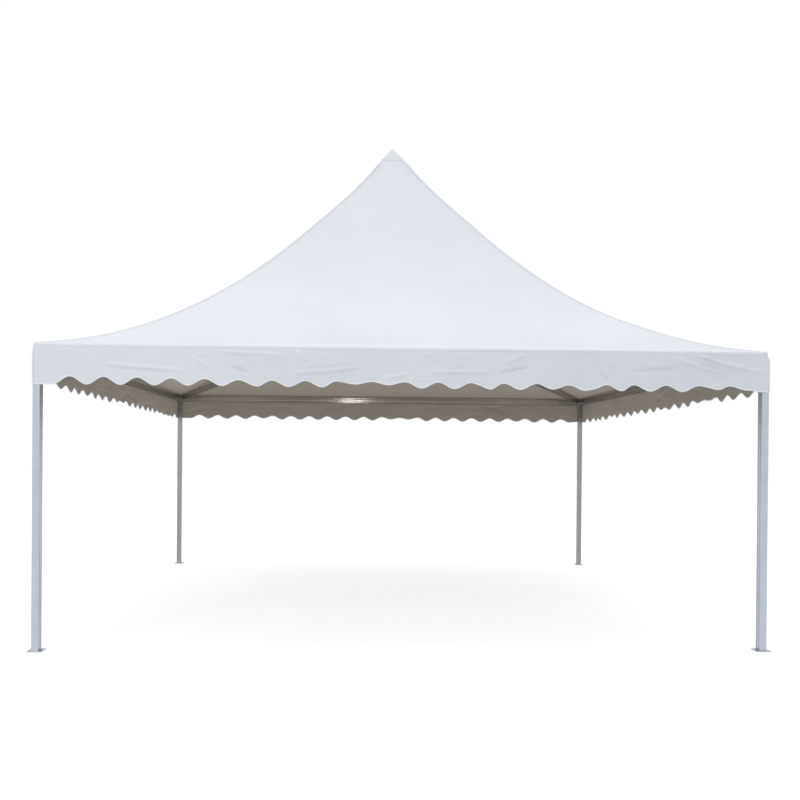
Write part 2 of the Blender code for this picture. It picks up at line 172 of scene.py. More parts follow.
# Valance
SCALLOP_COUNT = 21
SCALLOP_PITCH = 0.272
SCALLOP_HEIGHT = 0.050
VALANCE_SPACING = 0.0102
VALANCE_ROWS = 36
VALANCE_STAND = 0.0012
VALANCE_TUCK = 0.015
CORNER_SWELL = 0.0015
HEM_CORNER_RAISE = 0.006
CREASE_GAINS = (3.6, 2.2, 2.2, 2.2)
SIDE_CREASES = 26
WRINKLE_HEIGHT = 0.0082
BINDING_SECTION = (
    (0.011, 0.0008), (0.0103, 0.0015), (0.0, 0.0016), (-0.0018, 0.0),
    (-0.0018, -0.0014), (0.0, -0.0030), (0.0103, -0.0029), (0.011, -0.0022),
)
SEAM_TOP = 0.025
SEAM_ROWS = 26
SEAM_HALF_SECTION = ((0.0150, 0.0), (0.0145, 0.0011), (0.0050, 0.0013), (0.0015, 0.0018))
STITCH_PITCH = 0.026
STITCH_LENGTH = 0.012
STITCH_RADIUS = 0.0012
STITCH_REACH = 0.0105
STITCH_LIFT = 0.0014

# How far some of the front hem's lobes (whole numbers) and crests (halves) lie aside, in waves
FRONT_HEM_DRIFTS = {6: 0.05, 8.5: -0.08, 13: 0.10, 16.5: 0.17, 17: 0.12, 20: 0.08, 20.5: -0.06}
# Each hem's shift along its side, the raises of its two ends, and its higher and lower waves
HEM_SHIFTS = (-0.015, -0.03, 0.0, 0.03)
HEM_RAISES = ((0.010, 0.001), (-0.012, -0.022), (-0.015, 0.0), (-0.004, 0.010))
HEM_LIFTS = (
    {
        0.5: 0.28, 1.5: 0.25, 2.5: 0.20, 3.5: 0.15, 4.5: 0.10, 9: 0.55, 10: 0.50,
        15: 0.12, 15.5: -0.15, 20: 0.38, 21: 0.30,
    },
    {4: 0.60, 4.5: -0.20, 5: 0.45, 8.5: -0.35, 9: 0.30, 12: 0.25, 16: 0.55, 18.5: -0.30},
    {9: 0.45, 10: 0.40, 9.5: -0.15, 3: 0.2, 17: 0.25},
    {
        1.5: -0.75, 2.5: -0.70, 3.5: -0.55, 4: 0.25, 4.5: -0.25, 11: 0.50, 12: 0.35,
        11.5: -0.20, 16: 0.15, 19: 0.20, 20: 1.0,
    },
)
# The front's creases: start along and depth, end along and depth, width, height
FRONT_CREASES = (
    (-2.42, 0.167, -1.82, 0.210, 0.013, 0.0028),
    (-2.44, 0.190, -1.95, 0.232, 0.012, -0.0016),
    (-2.57, 0.100, -2.52, 0.210, 0.018, 0.0012),
    (-1.52, 0.050, -1.04, 0.075, 0.016, 0.0030),
    (-1.74, 0.094, -1.62, 0.185, 0.012, 0.0025),
    (-1.41, 0.180, -1.29, 0.220, 0.012, -0.0040),
    (-0.92, 0.010, -0.79, 0.170, 0.022, 0.0040),
    (-0.56, 0.090, -0.46, 0.160, 0.014, 0.0035),
    (-0.90, 0.215, -0.63, 0.200, 0.012, 0.0040),
    (-0.63, 0.200, -0.40, 0.165, 0.012, 0.0040),
    (-0.17, 0.250, 0.00, 0.225, 0.014, 0.0035),
    (0.13, 0.020, 0.26, 0.105, 0.013, 0.0030),
    (0.20, 0.200, 0.69, 0.190, 0.014, 0.0035),
    (0.78, 0.200, 1.00, 0.155, 0.012, -0.0040),
    (0.82, 0.120, 0.98, 0.035, 0.013, 0.0030),
    (1.48, 0.000, 1.60, 0.080, 0.010, -0.0040),
    (1.61, 0.190, 1.69, 0.250, 0.011, -0.0035),
    (1.90, 0.170, 2.26, 0.145, 0.015, -0.0045),
    (2.24, 0.065, 2.43, 0.125, 0.018, 0.0065),
    (2.43, 0.125, 2.67, 0.190, 0.018, 0.0065),
    (2.40, 0.018, 2.59, 0.090, 0.016, 0.0075),
    (2.59, 0.090, 2.96, 0.175, 0.020, 0.0075),
    (2.55, 0.055, 2.94, 0.060, 0.020, -0.0035),
    (2.26, 0.210, 2.47, 0.250, 0.014, 0.0035),
)

# Fittings
CAP_COLUMNS = 40
CAP_ROWS = 18
CAP_START = 0.905
CAP_STAND = 0.0026
CAP_HEM_STAND = 0.0017
PLATE_HOLE_INSET = 0.018
PLATE_HOLE_RADIUS = 0.006
WELD_RADIUS = 0.0028
WELD_STEP = 0.006
JOINT_INNER_X = BEAM_BOX[1].x + CLEARANCE
JOINT_INNER_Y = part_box("eave_beam_right")[1].y + CLEARANCE
BOLT_PLACES = (0.030, 0.075)
WASHER_RADIUS = 0.0105
WASHER_THICKNESS = 0.0018
HEAD_RADIUS = 0.0080
HEAD_HEIGHT = 0.0065
HEAD_SHOULDER = WASHER_THICKNESS + 0.78 * HEAD_HEIGHT
SEED = 7


def place_object(name, data):
    """An object of some data, linked to the scene."""
    obj = bpy.data.objects.new(name, data)
    bpy.context.scene.collection.objects.link(obj)
    return obj


def mesh_object(name, points, faces, materials):
    """A smooth object of points and faces."""
    mesh = bpy.data.meshes.new(name)
    mesh.from_pydata(points, [], faces)
    for material in materials:
        mesh.materials.append(material)
    mesh.shade_smooth()
    mesh.update()
    return place_object(name, mesh)


def solid_object(name, bm, material, sharp_angle=40):
    """A smooth object of an edited mesh, its edges above an angle sharp."""
    mesh = bpy.data.meshes.new(name)
    bm.to_mesh(mesh)
    bm.free()
    mesh.materials.append(material)
    mesh.shade_smooth()
    mesh.set_sharp_from_angle(angle=math.radians(sharp_angle))
    return place_object(name, mesh)


def grid_faces(columns, rows, closed=False, flipped=False):
    """The faces of a grid of points that runs row by row, its rows closed to rings or not."""
    faces = []
    for row in range(rows - 1):
        for column in range(columns if closed else columns - 1):
            here = row * columns + column
            beside = row * columns + (column + 1) % columns
            if flipped:
                faces.append((here, here + columns, beside + columns, beside))
            else:
                faces.append((here, beside, beside + columns, here + columns))
    return faces


def close_top(points, faces, ring, apex):
    """Joins the last ring of points to an apex."""
    last = len(points) - ring
    points.append(Vector(apex))
    for column in range(ring):
        faces.append((last + column, last + (column + 1) % ring, last + ring))


def mirrored(half, middle=()):
    """A symmetric section, from the points of its right half and what lies in the middle."""
    return [(-x, y) for x, y in half] + list(middle) + list(reversed(half))


def lay_out(obj, places):
    """Gives a cloth its flat layout in metres, by its points, so that its weave runs true."""
    layer = obj.data.uv_layers.new(name="cloth")
    for loop in obj.data.loops:
        layer.data[loop.index].uv = places[loop.vertex_index]


def dress(obj, slot, *nodes):
    """Makes a piece ride with the tent and hides the nodes that it stands for; slot is not used."""
    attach(obj, "root")
    if nodes:
        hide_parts(*nodes)
    return obj


def smoothstep(low, high, value):
    """0 below low, 1 above high, smooth between."""
    share = min(max((value - low) / (high - low), 0.0), 1.0)
    return share * share * (3 - 2 * share)


# Materials
def add_node(tree, kind, inputs=None, **settings):
    """A shader node with its settings and input values."""
    item = tree.nodes.new("ShaderNode" + kind)
    for key, value in settings.items():
        setattr(item, key, value)
    for key, value in (inputs or {}).items():
        item.inputs[key].default_value = value
    return item


def new_material(name, roughness, metallic):
    """A material with a Principled shader, and its node tree."""
    material = bpy.data.materials.new(name)
    material.use_nodes = True
    tree = material.node_tree
    shader = tree.nodes["Principled BSDF"]
    shader.inputs["Roughness"].default_value = roughness
    shader.inputs["Metallic"].default_value = metallic
    return material, tree, shader


def shade_between(tree, factor, dark, light, low=0.3, high=0.7):
    """A colour between two, by a factor output."""
    ramp = add_node(tree, "ValToRGB")
    for stop, position, colour in zip(ramp.color_ramp.elements, (low, high), (dark, light)):
        stop.position = position
        stop.color = (*colour, 1.0)
    tree.links.new(factor, ramp.inputs["Fac"])
    return ramp.outputs["Color"]


def add_texture(tree, kind, inputs=None, source="Object", **settings):
    """A node that is laid out by one of the piece's texture coordinates."""
    texture = add_node(tree, kind, inputs, **settings)
    tree.links.new(add_node(tree, "TexCoord").outputs[source], texture.inputs["Vector"])
    return texture


def add_noise(tree, scale, detail, roughness=0.5, distortion=0.0):
    """The factor output of a noise texture."""
    inputs = {"Scale": scale, "Detail": detail, "Roughness": roughness, "Distortion": distortion}
    return add_texture(tree, "TexNoise", inputs).outputs["Fac"]


def vary_roughness(tree, factor, low, high):
    """Lets a factor output move the roughness between two values."""
    gloss = add_node(tree, "MapRange", {"To Min": low, "To Max": high})
    tree.links.new(factor, gloss.inputs["Value"])
    tree.links.new(gloss.outputs["Result"], tree.nodes["Principled BSDF"].inputs["Roughness"])


def add_bump(tree, height, strength, distance):
    """Adds a bump from a height output to those that the surface has."""
    normal = tree.nodes["Principled BSDF"].inputs["Normal"]
    bump = add_node(tree, "Bump", {"Strength": strength, "Distance": distance})
    tree.links.new(height, bump.inputs["Height"])
    if normal.is_linked:
        tree.links.new(normal.links[0].from_socket, bump.inputs["Normal"])
    tree.links.new(bump.outputs["Normal"], normal)


def cloth_material(name, dark, light, roughness, weave_depth, painted_shade_at_top=0.0):
    """Coated cloth: uneven shade, a plain weave that shows through the coat, and soft creases.

    The last argument is how much painted shade darkens the cloth at the peak against the eave, where the
    steep top gets less light.
    """
    material, tree, shader = new_material(name, roughness, 0.0)
    links = tree.links
    colour = shade_between(tree, add_noise(tree, 1.1, 6.0, 0.62), dark, light)
    # Painted shade: the cloth darkens towards the peak, where the steep slope gets less light from above
    if painted_shade_at_top:
        height = add_texture(tree, "SeparateXYZ")
        fade = add_node(tree, "MapRange", {"To Min": 1.0, "To Max": 1 - painted_shade_at_top})
        fade.inputs["From Min"].default_value, fade.inputs["From Max"].default_value = PAINTED_SHADE_HEIGHTS
        links.new(height.outputs["Z"], fade.inputs["Value"])
        shaded = add_node(tree, "VectorMath", operation="SCALE")
        links.new(colour, shaded.inputs[0])
        links.new(fade.outputs["Result"], shaded.inputs["Scale"])
        colour = shaded.outputs["Vector"]
    links.new(colour, shader.inputs["Base Color"])
    vary_roughness(tree, add_noise(tree, 38.0, 4.0), roughness - 0.07, roughness + 0.09)
    # Threads 2.6 mm apart both ways, in the cloth's own directions
    threads = add_node(tree, "Math", operation="MAXIMUM")
    for socket, direction in enumerate("XY"):
        bands = add_texture(tree, "TexWave", {"Scale": 120.0}, "UV", bands_direction=direction)
        links.new(bands.outputs["Fac"], threads.inputs[socket])
    add_bump(tree, threads.outputs["Value"], 0.35, weave_depth)
    add_bump(tree, add_noise(tree, 7.0, 7.0, 0.55, 0.6), 0.30, 0.004)
    return material


def add_glow(material, colour, strength):
    """Gives a surface a weak even glow."""
    shader = material.node_tree.nodes["Principled BSDF"]
    shader.inputs["Emission Color"].default_value = (*colour, 1.0)
    shader.inputs["Emission Strength"].default_value = strength


def extrusion_material(name, dark, light, roughness):
    """Satin aluminium, with draw lines along the profile's own Z axis and faint handling marks."""
    material, tree, shader = new_material(name, roughness, 0.92)
    stretch = add_texture(tree, "Mapping", {"Scale": (420.0, 420.0, 1.4)})
    lines = add_node(tree, "TexNoise", {"Scale": 1.0, "Detail": 3.0})
    tree.links.new(stretch.outputs["Vector"], lines.inputs["Vector"])
    marks = add_noise(tree, 6.0, 8.0, 0.7)
    tree.links.new(shade_between(tree, marks, dark, light), shader.inputs["Base Color"])
    vary_roughness(tree, lines.outputs["Fac"], roughness - 0.06, roughness + 0.10)
    add_bump(tree, lines.outputs["Fac"], 0.12, 0.0004)
    return material


def galvanised_material(name, dark, light, roughness):
    """Zinc-coated steel: angular spangles, and dull and bright patches."""
    material, tree, shader = new_material(name, roughness, 0.9)
    links = tree.links
    spangle = add_texture(tree, "TexVoronoi", {"Scale": 95.0, "Randomness": 1.0})
    flake = add_node(tree, "SeparateColor")
    links.new(spangle.outputs["Color"], flake.inputs["Color"])
    patch = add_noise(tree, 14.0, 6.0, 0.6)
    mixed = add_node(tree, "Math", {1: 0.45}, operation="MULTIPLY_ADD")
    links.new(flake.outputs["Red"], mixed.inputs[0])
    links.new(patch, mixed.inputs[2])
    colour = shade_between(tree, mixed.outputs["Value"], dark, light, 0.35, 0.95)
    links.new(colour, shader.inputs["Base Color"])
    vary_roughness(tree, flake.outputs["Green"], roughness - 0.12, roughness + 0.12)
    add_bump(tree, patch, 0.20, 0.0005)
    return material


def floor_material():
    """Plain pale floor, lit a little from within like a studio's light table."""
    material, tree, shader = new_material("pale_floor", 0.85, 0.0)
    colour = shade_between(tree, add_noise(tree, 0.6, 4.0), (0.27, 0.27, 0.27), (0.29, 0.29, 0.29))
    tree.links.new(colour, shader.inputs["Base Color"])
    add_glow(material, (1.0, 1.0, 1.0), FLOOR_GLOW)
    return material


# The outer cloth, with painted shade that darkens it towards the peak
COVER_OUTSIDE = cloth_material(
    "cover_outside", (0.503, 0.531, 0.573), (0.537, 0.561, 0.600), 0.48, 0.0005, painted_shade_at_top=0.10
)
# The inside of the cloth is as white as the outside; its dark warm grey is painted shade
COVER_INSIDE_SHADE_AND_GLOW = cloth_material("cover_inside_shade_and_glow", (0.105, 0.091, 0.076), (0.120, 0.104, 0.087), 0.60, 0.0005)
# A painted glow stands in for the daylight that comes through the cloth from its lit side
add_glow(COVER_INSIDE_SHADE_AND_GLOW, DAYLIGHT_TINT, DAYLIGHT_STRENGTH)
# A darker copy of the cover's outer cloth: the difference is painted shade on the upright strips
SHADED_VALANCE_OUTSIDE = cloth_material(
    "shaded_valance_outside", (0.487, 0.517, 0.561), (0.520, 0.545, 0.588), 0.48, 0.0005
)
CAP_CLOTH = cloth_material("cap_cloth", (0.440, 0.468, 0.500), (0.480, 0.508, 0.540), 0.52, 0.0005)
BINDING = cloth_material("hem_binding", (0.540, 0.568, 0.614), (0.575, 0.602, 0.645), 0.55, 0.0003)
THREAD = cloth_material("seam_thread", (0.10, 0.10, 0.11), (0.14, 0.14, 0.15), 0.75, 0.0002)
LEG_METAL = extrusion_material("leg_aluminium", (0.425, 0.472, 0.530), (0.484, 0.531, 0.589), 0.32)
# Painted shade: a darker copy of the leg metal for the back legs, which look into the tent's shade
SHADED_LEG_METAL = extrusion_material("shaded_leg_aluminium", (0.27, 0.285, 0.30), (0.32, 0.335, 0.35), 0.34)
# Its warm grey is partly the metal's own tone and partly painted reflection of the shaded cloth inside the
# tent
BEAM_METAL = extrusion_material("beam_aluminium", (0.50, 0.475, 0.45), (0.56, 0.535, 0.51), 0.13)
# Painted shade for the faces of beams and rafters that look down
SHADED_UNDERSIDE_METAL = extrusion_material("shaded_underside_aluminium", (0.106, 0.100, 0.094), (0.162, 0.155, 0.147), 0.50)
STEEL = galvanised_material("galvanised_steel", (0.36, 0.37, 0.385), (0.56, 0.57, 0.58), 0.42)
DARK_STEEL = galvanised_material("dark_steel", (0.20, 0.205, 0.215), (0.34, 0.345, 0.355), 0.36)


# Profiles
def arc_points(centre_x, centre_y, radius, start, end, steps):
    """Points along an arc, with angles in degrees."""
    angles = [math.radians(start + (end - start) * index / steps) for index in range(steps + 1)]
    return [(centre_x + radius * math.cos(angle), centre_y + radius * math.sin(angle)) for angle in angles]


def crowned_face(half_x, low, high, crown, steps=6):
    """Points up a face that bulges between two heights, its middle at half_x."""
    shares = [index / steps for index in range(steps + 1)]
    return [(half_x - crown * (2 * share - 1) ** 2, low + (high - low) * share) for share in shares]


def grooved_outline(half_x, half_y, groove_offset, crown=0.0, lean=0.0):
    """A rectangle with round edges and two grooves in each face that looks along X.

    The band between the grooves bulges by crown, and the bands beside them lean back by lean.
    """
    half_groove = GROOVE_WIDTH / 2
    radius = PROFILE_RADIUS
    edge = half_x - crown
    half = arc_points(edge - radius, -half_y + radius, radius, -90, 0, 4)
    for centre in (-groove_offset, groove_offset):
        if centre > 0 and crown:
            half += crowned_face(half_x, -centre + half_groove, centre - half_groove, crown)
        half += [
            (edge if centre > 0 else edge - lean, centre - half_groove),
            (edge - GROOVE_DEPTH, centre - half_groove),
            (edge - GROOVE_DEPTH, centre + half_groove),
            (edge, centre + half_groove),
        ]
    half += arc_points(edge - lean - radius, half_y - radius, radius, 0, 90, 4)
    return half + [(-x, y) for x, y in reversed(half)]


def rounded_rectangle(half_x, half_y, radius, steps=4):
    """The outline of a rectangle with round corners."""
    points = []
    for turn, (side_x, side_y) in enumerate(((1, 1), (-1, 1), (-1, -1), (1, -1))):
        centre_x = side_x * (half_x - radius)
        centre_y = side_y * (half_y - radius)
        points += arc_points(centre_x, centre_y, radius, 90 * turn, 90 * turn + 90, steps)
    return points


def extrude_outline(name, loops, length, material, matrix, slope=0.0, underside=None):
    """Closed outlines in XY, the first one the outside, made solid along Z about z = 0.

    slope raises it along Y with Z. underside is the material of the faces that look down Y, which carries
    painted shade.
    """
    curve = bpy.data.curves.new(name, "CURVE")
    curve.dimensions = "2D"
    curve.fill_mode = "BOTH"
    curve.extrude = length / 2
    for loop in loops:
        spline = curve.splines.new("POLY")
        spline.points.add(len(loop) - 1)
        for point, (x, y) in zip(spline.points, loop):
            point.co = (x, y, 0.0, 1.0)
        spline.use_cyclic_u = True
    holder = place_object(name + "_outline", curve)
    mesh = bpy.data.meshes.new_from_object(holder.evaluated_get(bpy.context.evaluated_depsgraph_get()))
    bpy.data.objects.remove(holder, do_unlink=True)
    bm = bmesh.new()
    bm.from_mesh(mesh)
    bpy.data.meshes.remove(mesh)
    bmesh.ops.remove_doubles(bm, verts=bm.verts, dist=0.00001)
    bmesh.ops.recalc_face_normals(bm, faces=bm.faces)
    for vertex in bm.verts:
        vertex.co.y += slope * vertex.co.z
    obj = solid_object(name, bm, material, 32)
    # Faces that look down get the underside material, painted shade
    if underside:
        obj.data.materials.append(underside)
        for polygon in obj.data.polygons:
            polygon.material_index = 1 if polygon.normal.y < UNDERSIDE_NORMAL else 0
    obj.matrix_world = matrix
    # Flat faces keep flat shading next to the round edges
    obj.modifiers.new("flat_faces", "WEIGHTED_NORMAL").keep_sharp = True
    return obj


def basis(origin, along):
    """A placement whose Z runs along a level direction and whose Y is up."""
    z_axis = Vector(along).normalized()
    y_axis = Vector((0.0, 0.0, 1.0))
    x_axis = y_axis.cross(z_axis)
    matrix = Matrix((x_axis, y_axis, z_axis)).transposed().to_4x4()
    matrix.translation = Vector(origin)
    return matrix


def tube_section(width, height, groove_offset, crown=0.0, lean=0.0):
    """The outline and the bore of a grooved tube."""
    bore = rounded_rectangle(width / 2 - PROFILE_WALL, height / 2 - PROFILE_WALL, BORE_RADIUS)
    return [grooved_outline(width / 2, height / 2, groove_offset, crown, lean), bore]


def build_legs():
    """Four grooved uprights, the back ones darkened with painted shade."""
    section = tube_section(LEG_WIDTH, LEG_DEPTH, LEG_GROOVE_OFFSET)
    for corner, (sign_x, sign_y) in CORNERS.items():
        middle = Matrix.Translation((sign_x * HALF_SPAN, sign_y * HALF_SPAN, (LEG_LOW + LEG_HIGH) / 2))
        # The back legs get the darker copy, painted shade
        metal = LEG_METAL if sign_y < 0 else SHADED_LEG_METAL
        leg = extrude_outline(f"leg_profile_{corner}", section, LEG_HIGH - LEG_LOW, metal, middle)
        dress(leg, "leg", f"leg_{corner}")


def build_beams():
    """Four grooved eave beams, with a slightly crowned band between the grooves."""
    section = tube_section(BEAM_WIDTH, BEAM_HEIGHT, BEAM_GROOVE_OFFSET, BEAM_CROWN, BEAM_LEAN)
    for side in SIDES:
        low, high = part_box(f"eave_beam_{side}")
        along = (1, 0, 0) if side in ("front", "back") else (0, 1, 0)
        length = max(high.x - low.x, high.y - low.y)
        beam = extrude_outline(
            f"beam_profile_{side}", section, length, BEAM_METAL,
            basis((low + high) / 2, along), underside=SHADED_UNDERSIDE_METAL,
        )
        dress(beam, "eave_beam", f"eave_beam_{side}")


def corner_direction(signs):
    """The level direction from a corner to the middle of the tent."""
    return Vector((-signs[0], -signs[1], 0.0)).normalized()


def rafter_place(signs, level):
    """The middle of a rafter's section, at a level distance from the middle of its leg."""
    place = Vector((signs[0], signs[1], 0.0)) * HALF_SPAN + corner_direction(signs) * level
    place.z = RAFTER_FOOT_HEIGHT + RAFTER_RISE_PER_METRE * level + RAFTER_DEPTH / 2
    return place


def build_rafters():
    """Four sloping hip rafters with upright ends and grooved sides."""
    outer = grooved_outline(RAFTER_WIDTH / 2, RAFTER_DEPTH / 2, RAFTER_GROOVE_OFFSET)
    half_bore = RAFTER_WIDTH / 2 - RAFTER_WALL - GROOVE_DEPTH
    bore = rounded_rectangle(half_bore, RAFTER_DEPTH / 2 - RAFTER_WALL, BORE_RADIUS / 2)
    start = JOINT_CHAMFER_DISTANCE + CLEARANCE
    end = DIAGONAL - HUB_HALF_WIDTH - CLEARANCE
    for corner, signs in CORNERS.items():
        matrix = basis(rafter_place(signs, (start + end) / 2), corner_direction(signs))
        rafter = extrude_outline(
            f"rafter_profile_{corner}", [outer, bore], end - start, BEAM_METAL,
            matrix, RAFTER_RISE_PER_METRE, SHADED_UNDERSIDE_METAL,
        )
        dress(rafter, "hip_rafter", f"hip_rafter_{corner}")


# Cover
def hip_point(step):
    """The hip's distance out, as a fraction, and its height, from the eave (0) to the peak (1)."""
    weights = ((1 - step) ** 3, 3 * (1 - step) ** 2 * step, 3 * (1 - step) * step**2, step**3)
    fractions = (1.0, HIP_LOW_FRACTION, HIP_HIGH_FRACTION, 0.0)
    heights = (EAVE_TOP, HIP_LOW_HEIGHT, HIP_HIGH_HEIGHT, PEAK_HEIGHT)
    return [sum(weight * value for weight, value in zip(weights, values)) for values in (fractions, heights)]


def side_halves(side):
    """How far out a side lies, and half its length, for the sides counted from the front."""
    return (COVER_HALF_X, COVER_HALF_Y) if side % 2 else (COVER_HALF_Y, COVER_HALF_X)


def side_turn(side):
    """The turn that takes the front side to another side."""
    return Matrix.Rotation(math.radians(90 * side), 3, "Z")


def corner_draw(side, along, gap, depth):
    """How far the cloth is drawn in near the corner at its end of a side, at a gap and a depth."""
    corner = side if along < 0 else (side + 1) % 4
    top = CORNER_DRAWS[corner] * math.exp(-((gap / CORNER_DRAW_WIDTH) ** 2))
    snug = CORNER_SNUG * math.exp(-((gap / CORNER_SNUG_WIDTH) ** 2))
    return top * (1 - smoothstep(0.0, CORNER_DRAW_DEPTH, depth)) + snug


def cover_place(side, across, step):
    """A point of the cover's outer surface, from one hip (-1) to the next (1) of a side."""
    half_out, half_along = side_halves(side)
    fraction, height = hip_point(step)
    out = fraction - COVER_BOW * fraction * (1 - fraction**2) * (1 - across**2)
    sag = HIP_SAGS[side] * (1 - across) / 2 + HIP_SAGS[(side + 1) % 4] * (1 + across) / 2
    height -= sag * smoothstep(0.14, 0.34, step) * (1 - smoothstep(0.35, 0.80, step))
    height -= TOP_HOLLOW * smoothstep(0.58, 0.76, step) * (1 - smoothstep(0.82, 0.92, step))
    draw = corner_draw(side, across, (1 - abs(across)) * fraction * half_along, 0.0)
    draw *= 1 - smoothstep(0.0, 0.035, step)
    along = across * fraction * half_along - math.copysign(draw, across)
    return rest_on_rafter(side_turn(side) @ Vector((along, draw - half_out * out, height)))


def rest_on_rafter(place):
    """Lifts a point of the cover where it would sink into the rafter under it."""
    level = 2 * HALF_SPAN - abs(place.x) - abs(place.y)
    along = level / math.sqrt(2)
    aside = abs(abs(place.x) - abs(place.y)) / math.sqrt(2)
    top = RAFTER_FOOT_HEIGHT + RAFTER_RISE_PER_METRE * along + RAFTER_DEPTH + RAFTER_COVER_ROOM
    lift = max(0.0, top - place.z) * (1 - smoothstep(*RAFTER_REST_WIDTH, aside))
    return Vector((place.x, place.y, place.z + lift))


def cover_normal(side, across, step):
    """The direction straight out of the cover, from three near points."""
    reach = 0.004
    sign = -1 if across > 0 else 1
    here = cover_place(side, across, step)
    sideways = (cover_place(side, across + sign * reach, step) - here) * sign
    upwards = cover_place(side, across, step + reach) - here
    return sideways.cross(upwards).normalized()


def spread(share):
    """Turns even steps from -1 to 1 into steps that are closer together near the hips."""
    return share * (1 + 0.45 * (1 - share * share))


def cover_relief(side, across, step, place):
    """How far the cloth stands off its even form: slack, corner folds, puckers and pleats."""
    fraction, _ = hip_point(step)
    _, half_along = side_halves(side)
    free = (1 - across * across) * smoothstep(0.0, 0.10, step)
    slack = SLACK * noise.noise(place * 0.75 + Vector((3.1, 7.7, 1.3))) * free
    slack += SMALL_SLACK * noise.noise(place * 2.1 + Vector((9.2, 0.4, 5.0))) * free
    # Folds that fan out from the two eave corners
    along_gap = (1 - abs(across)) * fraction * half_along
    up_gap = (1 - fraction) * half_along
    reach = math.hypot(along_gap, up_gap)
    fan = math.atan2(up_gap, along_gap + 0.001)
    folds = FAN_FOLD_HEIGHT * math.sin(13.0 * fan + side)
    folds *= smoothstep(0.02, 0.20, reach) * math.exp(-reach / 0.75) * min(1.0, free * 6)
    # Short puckers above the eave, where the cloth is drawn over the beam
    along = across * fraction * half_along
    puckers = PUCKER_HEIGHT * math.sin(2 * math.pi * along / PUCKER_PITCH + 2.0 * noise.noise(place * 1.7))
    puckers *= math.exp(-up_gap / 0.11) * smoothstep(0.004, 0.03, step) * smoothstep(0.02, 0.12, along_gap)
    # Fine pleats that draw together at the peak
    pleats = PLEAT_HEIGHT * math.cos(5.5 * math.pi * across)
    pleats *= smoothstep(0.60, 0.90, step) * smoothstep(1.0, 0.95, step)
    return slack + folds + puckers + pleats


def eave_fold():
    """How far out and how high the fold over the beams lies, from its lip up."""
    slope = math.atan2(HIP_LOW_HEIGHT - EAVE_TOP, COVER_HALF_X * (1 - HIP_LOW_FRACTION))
    centre = EAVE_TOP - FOLD_RADIUS
    lines = [(FOLD_PROUD, centre - LIP_DROP), (FOLD_PROUD, centre - LIP_DROP / 2)]
    for index in range(FOLD_STEPS + 1):
        angle = (math.pi / 2 - slope) * index / FOLD_STEPS
        out = FOLD_PROUD + FOLD_RADIUS * (math.cos(angle) - 1)
        lines.append((out, EAVE_TOP + FOLD_RADIUS * (math.sin(angle) - 1)))
    return lines


def fold_place(side, across, out_by, height):
    """A point of the fold, which is a little uneven and rises at the corners."""
    half_out, half_along = side_halves(side)
    gap = (1 - abs(across)) * half_along
    ear = EAR_HEIGHT * max(0.0, 1 - gap / EAR_REACH) ** 2
    uneven = 0.0018 * (0.4 + noise.noise(Vector((across * half_along * 4.0, 5.0 * side, 0.0))))
    level = height + ear + max(uneven, 0.0) * min(1.0, gap * 8)
    draw = corner_draw(side, across, gap, VALANCE_HIGH - height)
    along = across * (half_along + out_by) - math.copysign(draw, across)
    return side_turn(side) @ Vector((along, draw - half_out - out_by, level))


def cloth_place(side, across, step):
    """A point of the cover with its slack and folds, lifted off the rafters."""
    place = cover_place(side, across, step)
    relief = cover_relief(side, across, step, place)
    return rest_on_rafter(place + cover_normal(side, across, step) * relief)


def build_cover():
    """The cover as one sheet: the fold over the beams, and the four sides up to the peak."""
    columns = [spread(-1 + 2 * column / COVER_COLUMNS) for column in range(COVER_COLUMNS)]
    ring = [(side, across) for side in range(4) for across in columns]
    points = [fold_place(side, across, *line) for line in eave_fold() for side, across in ring]
    for row in range(COVER_ROWS):
        step = FIRST_STEP + (TOP_STEP - FIRST_STEP) * row / (COVER_ROWS - 1)
        points += [cloth_place(side, across, step) for side, across in ring]
    rows = len(points) // len(ring)
    faces = grid_faces(len(ring), rows, closed=True)
    close_top(points, faces, len(ring), (0.0, 0.0, PEAK_HEIGHT))
    cover = mesh_object("cover", points, faces, [COVER_OUTSIDE, COVER_INSIDE_SHADE_AND_GLOW])
    lay_out(cover, cover_layout(points, len(ring), rows))
    thicken(cover, inner_slot=1)
    dress(cover, "cover", *(f"roof_panel_{side}" for side in SIDES))
    welts = build_hip_welts()


def cover_layout(points, ring, rows):
    """Where the cover's points lie when its sides are laid flat."""
    heights = [0.0]
    for row in range(1, rows):
        heights.append(heights[-1] + (points[row * ring] - points[(row - 1) * ring]).length)
    places = []
    for index, point in enumerate(points):
        row, column = divmod(index, ring)
        local = side_turn(column // COVER_COLUMNS).transposed() @ point
        places.append((local.x, heights[min(row, rows - 1)]))
    return places


def thicken(obj, inner_slot=0):
    """Gives a sheet the cloth's thickness inwards, and its inner face a material slot."""
    solid = obj.modifiers.new("thickness", "SOLIDIFY")
    solid.thickness = CLOTH_THICKNESS
    solid.offset = -1.0
    solid.material_offset = inner_slot
    solid.use_rim = True
    obj.modifiers.new("even_shading", "WEIGHTED_NORMAL")


